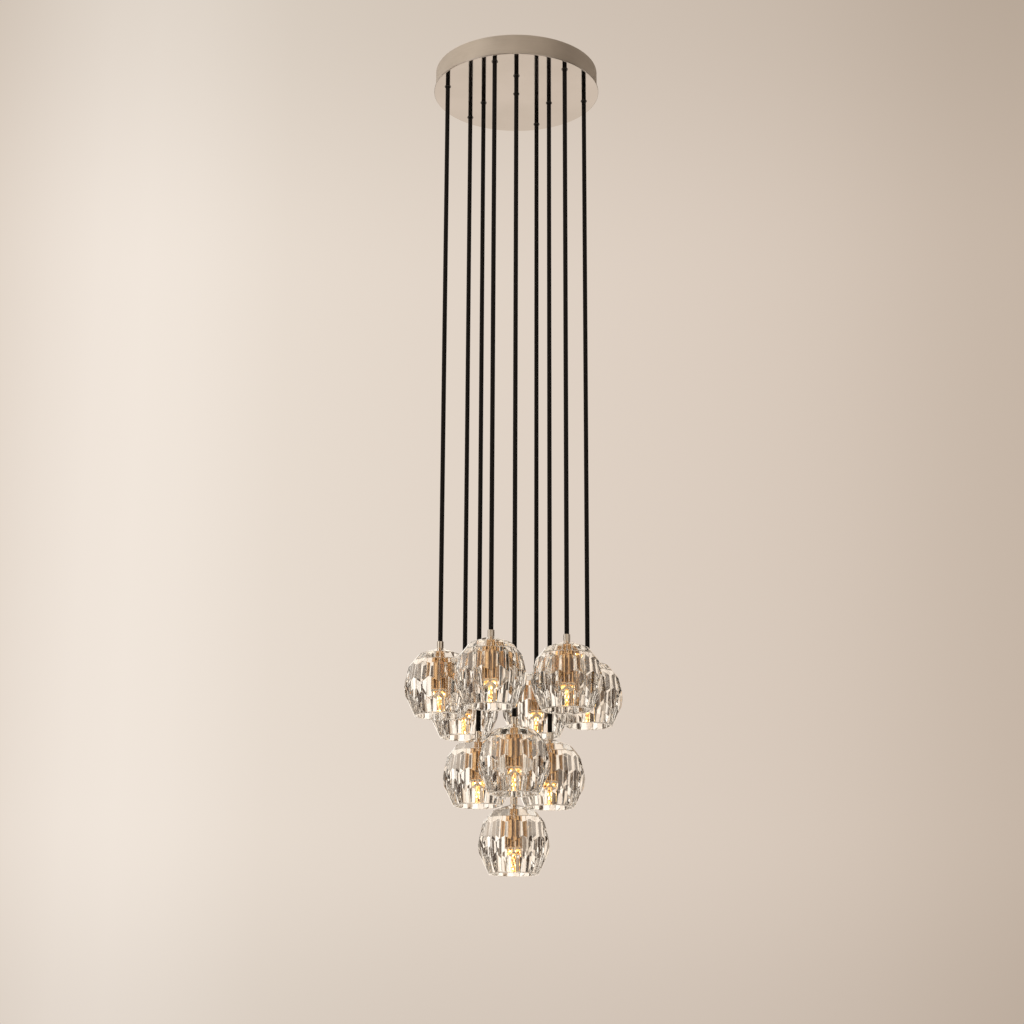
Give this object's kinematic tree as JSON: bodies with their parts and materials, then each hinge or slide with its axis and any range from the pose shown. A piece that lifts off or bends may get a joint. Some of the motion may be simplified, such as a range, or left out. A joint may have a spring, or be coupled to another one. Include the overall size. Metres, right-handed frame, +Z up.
{
  "type": "cluster pendant",
  "caption": "Ceiling cluster pendant: faceted clear crystal globes hang on black cloth cords in tiers from a round metal canopy, each with a lamp cup and push-in lamp.",
  "frame": {"origin": "centre of the canopy's ceiling face, on the ceiling bar's top", "axes": "+Z up into the ceiling, +X along the ceiling bar; the picture looks along +Y"},
  "size_m": [0.3748, 0.3686, 1.48],
  "materials": {
    "brushed_nickel": "satin, brushed round the drum",
    "polished_nickel": "mirror polished",
    "black_nylon": "matt black",
    "zinc_steel": "zinc plated",
    "white_moulding": "moulded white",
    "black_cloth": "black braided cloth",
    "crystal": "cut and polished clear",
    "champagne_metal": "satin champagne plate",
    "lamp_glass": "clear cover over warm light"
  },
  "bodies": {
    "root": {"canopy_wall": "brushed_nickel", "face_plate": "polished_nickel", "cord_glands": "black_nylon", "ceiling_bar": "zinc_steel", "side_screws": "zinc_steel", "terminal_block": "white_moulding", "cord_07": "black_cloth", "cord_08": "black_cloth", "cord_09": "black_cloth", "cord_10": "black_cloth"},
    "cord_01": {"cord_01": "black_cloth"},
    "pendant_01": {"globe_01": "crystal", "cord_grip_01": "polished_nickel", "socket_cup_01": "champagne_metal"},
    "lamp_01": {"lamp_01": "lamp_glass"},
    "cord_02": {"cord_02": "black_cloth"},
    "pendant_02": {"globe_02": "crystal", "cord_grip_02": "polished_nickel", "socket_cup_02": "champagne_metal"},
    "lamp_02": {"lamp_02": "lamp_glass"},
    "cord_03": {"cord_03": "black_cloth"},
    "pendant_03": {"globe_03": "crystal", "cord_grip_03": "polished_nickel", "socket_cup_03": "champagne_metal"},
    "lamp_03": {"lamp_03": "lamp_glass"},
    "cord_04": {"cord_04": "black_cloth"},
    "pendant_04": {"globe_04": "crystal", "cord_grip_04": "polished_nickel", "socket_cup_04": "champagne_metal"},
    "lamp_04": {"lamp_04": "lamp_glass"},
    "cord_05": {"cord_05": "black_cloth"},
    "pendant_05": {"globe_05": "crystal", "cord_grip_05": "polished_nickel", "socket_cup_05": "champagne_metal"},
    "lamp_05": {"lamp_05": "lamp_glass"},
    "cord_06": {"cord_06": "black_cloth"},
    "pendant_06": {"globe_06": "crystal", "cord_grip_06": "polished_nickel", "socket_cup_06": "champagne_metal"},
    "lamp_06": {"lamp_06": "lamp_glass"},
    "pendant_07": {"globe_07": "crystal", "cord_grip_07": "polished_nickel", "socket_cup_07": "champagne_metal"},
    "lamp_07": {"lamp_07": "lamp_glass"},
    "pendant_08": {"globe_08": "crystal", "cord_grip_08": "polished_nickel", "socket_cup_08": "champagne_metal"},
    "lamp_08": {"lamp_08": "lamp_glass"},
    "pendant_09": {"globe_09": "crystal", "cord_grip_09": "polished_nickel", "socket_cup_09": "champagne_metal"},
    "lamp_09": {"lamp_09": "lamp_glass"},
    "pendant_10": {"globe_10": "crystal", "cord_grip_10": "polished_nickel", "socket_cup_10": "champagne_metal"},
    "lamp_10": {"lamp_10": "lamp_glass"}
  },
  "joints": [
    {"name": "swing_01", "type": "hinge", "parent": "root", "child": "cord_01", "pos_m": [0.12699, 0.02792, -0.03895], "axis": [0.2147, -0.9767, 0], "range_deg": [0, 12]},
    {"name": "twist_01", "type": "hinge", "parent": "cord_01", "child": "pendant_01", "pos_m": [0.12699, 0.02792, -1.109], "axis": [0, 0, 1], "range_deg": [-90, 90]},
    {"name": "lamp_pull_01", "type": "slide", "parent": "pendant_01", "child": "lamp_01", "axis": [0, 0, -1], "range_m": [0, 0.06]},
    {"name": "swing_02", "type": "hinge", "parent": "root", "child": "cord_02", "pos_m": [0.03931, 0.12393, -0.03895], "axis": [0.9532, -0.3024, 0], "range_deg": [0, 12]},
    {"name": "twist_02", "type": "hinge", "parent": "cord_02", "child": "pendant_02", "pos_m": [0.03931, 0.12393, -1.112], "axis": [0, 0, 1], "range_deg": [-90, 90]},
    {"name": "lamp_pull_02", "type": "slide", "parent": "pendant_02", "child": "lamp_02", "axis": [0, 0, -1], "range_m": [0, 0.06]},
    {"name": "swing_03", "type": "hinge", "parent": "root", "child": "cord_03", "pos_m": [-0.08767, 0.09601, -0.03895], "axis": [0.7385, 0.6743, 0], "range_deg": [0, 12]},
    {"name": "twist_03", "type": "hinge", "parent": "cord_03", "child": "pendant_03", "pos_m": [-0.08767, 0.09601, -1.119], "axis": [0, 0, 1], "range_deg": [-90, 90]},
    {"name": "lamp_pull_03", "type": "slide", "parent": "pendant_03", "child": "lamp_03", "axis": [0, 0, -1], "range_m": [0, 0.06]},
    {"name": "swing_04", "type": "hinge", "parent": "root", "child": "cord_04", "pos_m": [-0.12699, -0.02792, -0.03895], "axis": [-0.2147, 0.9767, 0], "range_deg": [0, 12]},
    {"name": "twist_04", "type": "hinge", "parent": "cord_04", "child": "pendant_04", "pos_m": [-0.12699, -0.02792, -1.102], "axis": [0, 0, 1], "range_deg": [-90, 90]},
    {"name": "lamp_pull_04", "type": "slide", "parent": "pendant_04", "child": "lamp_04", "axis": [0, 0, -1], "range_m": [0, 0.06]},
    {"name": "swing_05", "type": "hinge", "parent": "root", "child": "cord_05", "pos_m": [-0.03931, -0.12393, -0.03895], "axis": [-0.9532, 0.3024, 0], "range_deg": [0, 12]},
    {"name": "twist_05", "type": "hinge", "parent": "cord_05", "child": "pendant_05", "pos_m": [-0.03931, -0.12393, -1.102], "axis": [0, 0, 1], "range_deg": [-90, 90]},
    {"name": "lamp_pull_05", "type": "slide", "parent": "pendant_05", "child": "lamp_05", "axis": [0, 0, -1], "range_m": [0, 0.06]},
    {"name": "swing_06", "type": "hinge", "parent": "root", "child": "cord_06", "pos_m": [0.08767, -0.09601, -0.03895], "axis": [-0.7385, -0.6743, 0], "range_deg": [0, 12]},
    {"name": "twist_06", "type": "hinge", "parent": "cord_06", "child": "pendant_06", "pos_m": [0.08767, -0.09601, -1.103], "axis": [0, 0, 1], "range_deg": [-90, 90]},
    {"name": "lamp_pull_06", "type": "slide", "parent": "pendant_06", "child": "lamp_06", "axis": [0, 0, -1], "range_m": [0, 0.06]},
    {"name": "twist_07", "type": "hinge", "parent": "root", "child": "pendant_07", "pos_m": [0.06154, 0.03553, -1.248], "axis": [0, 0, 1], "range_deg": [-90, 90]},
    {"name": "lamp_pull_07", "type": "slide", "parent": "pendant_07", "child": "lamp_07", "axis": [0, 0, -1], "range_m": [0, 0.06]},
    {"name": "twist_08", "type": "hinge", "parent": "root", "child": "pendant_08", "pos_m": [-0.06154, 0.03553, -1.246], "axis": [0, 0, 1], "range_deg": [-90, 90]},
    {"name": "lamp_pull_08", "type": "slide", "parent": "pendant_08", "child": "lamp_08", "axis": [0, 0, -1], "range_m": [0, 0.06]},
    {"name": "twist_09", "type": "hinge", "parent": "root", "child": "pendant_09", "pos_m": [0, -0.07106, -1.239], "axis": [0, 0, 1], "range_deg": [-90, 90]},
    {"name": "lamp_pull_09", "type": "slide", "parent": "pendant_09", "child": "lamp_09", "axis": [0, 0, -1], "range_m": [0, 0.06]},
    {"name": "twist_10", "type": "hinge", "parent": "root", "child": "pendant_10", "pos_m": [0, 0, -1.364], "axis": [0, 0, 1], "range_deg": [-90, 90]},
    {"name": "lamp_pull_10", "type": "slide", "parent": "pendant_10", "child": "lamp_10", "axis": [0, 0, -1], "range_m": [0, 0.06]}
  ]
}
